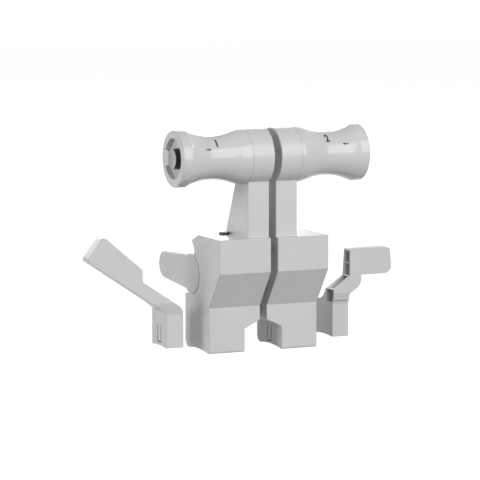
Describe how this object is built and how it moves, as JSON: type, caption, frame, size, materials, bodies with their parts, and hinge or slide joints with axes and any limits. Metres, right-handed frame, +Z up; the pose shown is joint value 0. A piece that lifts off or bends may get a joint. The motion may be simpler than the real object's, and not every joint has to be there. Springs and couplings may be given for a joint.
{
  "type": "throttle quadrant lever heads",
  "caption": "Lever heads for a desktop throttle quadrant: waisted thrust grips with reverse levers, a speed brake paddle and a flap paddle, each with a blade socket.",
  "frame": {"origin": "bottom centre of the bounding box: level with the undersides of the two throttle feet", "axes": "+X from the speed brake lever to the flap lever (to the right as the pilot faces the levers), +Y away from the pilot, towards the tips of the reverse levers, +Z up, out of the lever blades"},
  "size_m": [0.2067, 0.1054, 0.1404],
  "materials": {
    "shell_plastic": "satin moulded ABS, light grey",
    "grip_plastic": "satin moulded ABS, light grey, fine grain",
    "lever_plastic": "satin moulded ABS, light grey",
    "side_plastic": "satin moulded ABS, light grey",
    "ring_plastic": "satin, mid grey",
    "button_plastic": "black, fine matt",
    "switch_plastic": "black",
    "bush_acetal": "natural acetal",
    "lead_sheath": "dark grey sheath",
    "screw_steel": "zinc plated",
    "spring_steel": "bright drawn wire"
  },
  "bodies": {
    "throttle_1_head": {"throttle_1_housing": "shell_plastic", "throttle_1_side_cover": "shell_plastic", "throttle_1_cover_screws": "screw_steel", "throttle_1_grip_sleeve": "grip_plastic", "throttle_1_button_spring": "spring_steel", "throttle_1_disengage_switch": "switch_plastic", "throttle_1_switch_carrier": "shell_plastic", "throttle_1_top_switch": "switch_plastic", "throttle_1_reverse_bush": "bush_acetal", "throttle_1_return_spring": "spring_steel", "throttle_1_lead": "lead_sheath", "throttle_1_contact_block": "switch_plastic"},
    "throttle_1_disengage": {"throttle_1_disengage_button": "button_plastic", "throttle_1_button_ring": "ring_plastic"},
    "throttle_1_top": {"throttle_1_top_button": "button_plastic"},
    "throttle_1_reverse": {"throttle_1_reverse_lever": "lever_plastic", "throttle_1_reverse_pivot": "screw_steel"},
    "throttle_2_head": {"throttle_2_housing": "shell_plastic", "throttle_2_side_cover": "shell_plastic", "throttle_2_cover_screws": "screw_steel", "throttle_2_grip_sleeve": "grip_plastic", "throttle_2_button_spring": "spring_steel", "throttle_2_disengage_switch": "switch_plastic", "throttle_2_switch_carrier": "shell_plastic", "throttle_2_top_switch": "switch_plastic", "throttle_2_reverse_bush": "bush_acetal", "throttle_2_return_spring": "spring_steel", "throttle_2_lead": "lead_sheath", "throttle_2_contact_block": "switch_plastic"},
    "throttle_2_disengage": {"throttle_2_disengage_button": "button_plastic", "throttle_2_button_ring": "ring_plastic"},
    "throttle_2_top": {"throttle_2_top_button": "button_plastic"},
    "throttle_2_reverse": {"throttle_2_reverse_lever": "lever_plastic", "throttle_2_reverse_pivot": "screw_steel"},
    "speed_brake": {"speed_brake_lever": "side_plastic"},
    "flap": {"flap_lever": "side_plastic"}
  },
  "joints": [
    {"name": "throttle_1_disengage_press", "type": "slide", "parent": "throttle_1_head", "child": "throttle_1_disengage", "axis": [1, 0, 0], "range_m": [0, 0.0016], "stiffness_N_per_m": 500, "springref_m": -0.0012, "deforming": ["throttle_1_button_spring"]},
    {"name": "throttle_1_top_press", "type": "slide", "parent": "throttle_1_head", "child": "throttle_1_top", "axis": [0, 0, -1], "range_m": [0, 0.0008], "stiffness_N_per_m": 700, "springref_m": -0.0008},
    {"name": "throttle_1_reverse_lift", "type": "hinge", "parent": "throttle_1_head", "child": "throttle_1_reverse", "pos_m": [-0.00897, -0.0013, 0.047], "axis": [1, 0, 0], "range_deg": [0, 50], "stiffness_Nm_per_rad": 0.012, "springref_deg": -28.65, "deforming": ["throttle_1_return_spring"]},
    {"name": "throttle_2_disengage_press", "type": "slide", "parent": "throttle_2_head", "child": "throttle_2_disengage", "axis": [-1, 0, 0], "range_m": [0, 0.0016], "stiffness_N_per_m": 500, "springref_m": -0.0012, "deforming": ["throttle_2_button_spring"]},
    {"name": "throttle_2_top_press", "type": "slide", "parent": "throttle_2_head", "child": "throttle_2_top", "axis": [0, 0, -1], "range_m": [0, 0.0008], "stiffness_N_per_m": 700, "springref_m": -0.0008},
    {"name": "throttle_2_reverse_lift", "type": "hinge", "parent": "throttle_2_head", "child": "throttle_2_reverse", "pos_m": [0.03073, -0.0013, 0.047], "axis": [1, 0, 0], "range_deg": [0, 50], "stiffness_Nm_per_rad": 0.012, "springref_deg": -28.65, "deforming": ["throttle_2_return_spring"]},
    {"name": "throttle_2_swing", "type": "hinge", "parent": "throttle_1_head", "child": "throttle_2_head", "pos_m": [0.02973, -0.0111, -0.093], "axis": [1, 0, 0], "range_deg": [-30, 30]},
    {"name": "speed_brake_swing", "type": "hinge", "parent": "throttle_1_head", "child": "speed_brake", "pos_m": [-0.04597, -0.0111, -0.093], "axis": [1, 0, 0], "range_deg": [-30, 30]},
    {"name": "flap_swing", "type": "hinge", "parent": "throttle_1_head", "child": "flap", "pos_m": [0.06803, -0.0111, -0.093], "axis": [1, 0, 0], "range_deg": [-30, 30]}
  ]
}
